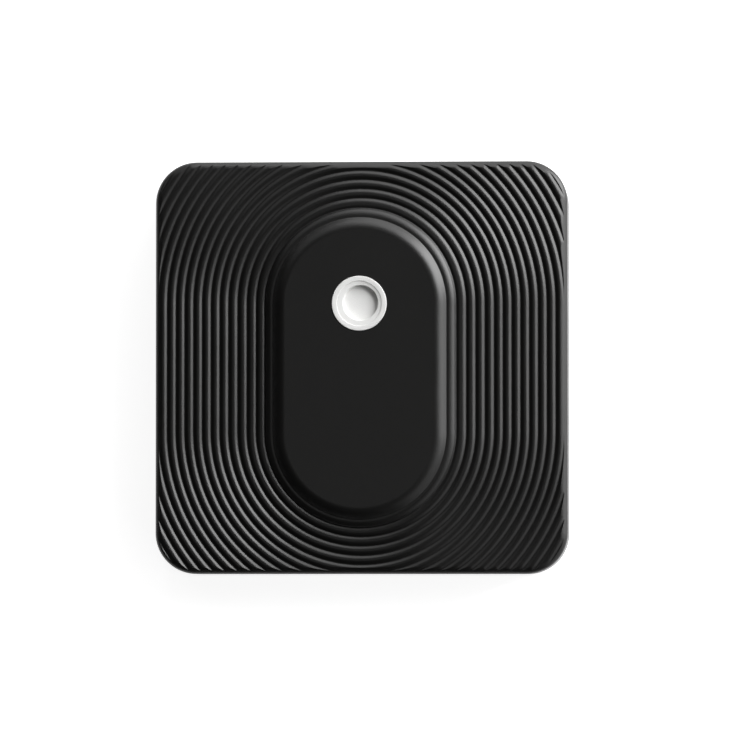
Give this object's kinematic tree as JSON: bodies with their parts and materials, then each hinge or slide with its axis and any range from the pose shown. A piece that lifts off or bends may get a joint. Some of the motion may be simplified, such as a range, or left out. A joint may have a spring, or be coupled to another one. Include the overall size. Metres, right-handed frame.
{
  "type": "temperature and humidity sensor",
  "caption": "Small square room sensor with a ribbed face, a raised smooth island and a white ringed sensor port; the rear cover opens to a coin cell and a control button.",
  "frame": {"origin": "middle of the rear face, on which the sensor lies", "axes": "+Z out of the ribbed face, +Y towards the end of the face that holds the sensor port, +X to the right as the face is looked at"},
  "size_m": [0.035, 0.035, 0.0073],
  "materials": {
    "case_plastic": "satin",
    "white_plastic": "satin",
    "membrane": "matte",
    "foam": "matte",
    "board": "gloss",
    "chip_plastic": "matte",
    "ceramic_part": "satin",
    "holder_plastic": "matte",
    "steel": "satin",
    "copper": "gloss"
  },
  "bodies": {
    "rear_cover": {"rear_cover": "case_plastic"},
    "case": {"front_cover": "case_plastic", "light_ring": "white_plastic", "vent_membrane": "membrane", "sensor_gasket": "foam", "humidity_sensor": "chip_plastic", "status_led": "white_plastic", "circuit_board": "board", "bluetooth_chip": "chip_plastic", "clock_crystal": "steel", "power_inductor": "chip_plastic", "board_capacitors": "ceramic_part", "board_resistors": "chip_plastic", "reserve_capacitor": "ceramic_part", "board_antenna": "copper", "cell_holder": "holder_plastic", "positive_contact": "copper", "negative_contact": "copper", "switch_base": "chip_plastic", "switch_dome": "steel", "switch_frame": "steel", "switch_terminals": "steel"},
    "coin_cell": {"cell_can": "steel", "cell_cap": "steel", "cell_seal": "holder_plastic"},
    "control_button": {"switch_plunger": "chip_plastic"}
  },
  "joints": [
    {"name": "case_removal", "type": "slide", "parent": "rear_cover", "child": "case", "axis": [0, 0, 1], "range_m": [0, 0.015]},
    {"name": "coin_cell_removal", "type": "slide", "parent": "rear_cover", "child": "coin_cell", "axis": [0, 0, 1], "range_m": [0, 0.0075]},
    {"name": "control_button_press", "type": "slide", "parent": "case", "child": "control_button", "axis": [0, 0, 1], "range_m": [0, 0.0002], "stiffness_N_per_m": 4000, "springref_m": -0.0001, "deforming": ["switch_dome"]}
  ],
  "couplings": [
    {"joint": "coin_cell_removal", "follows": "case_removal", "ratio": 0.5}
  ]
}
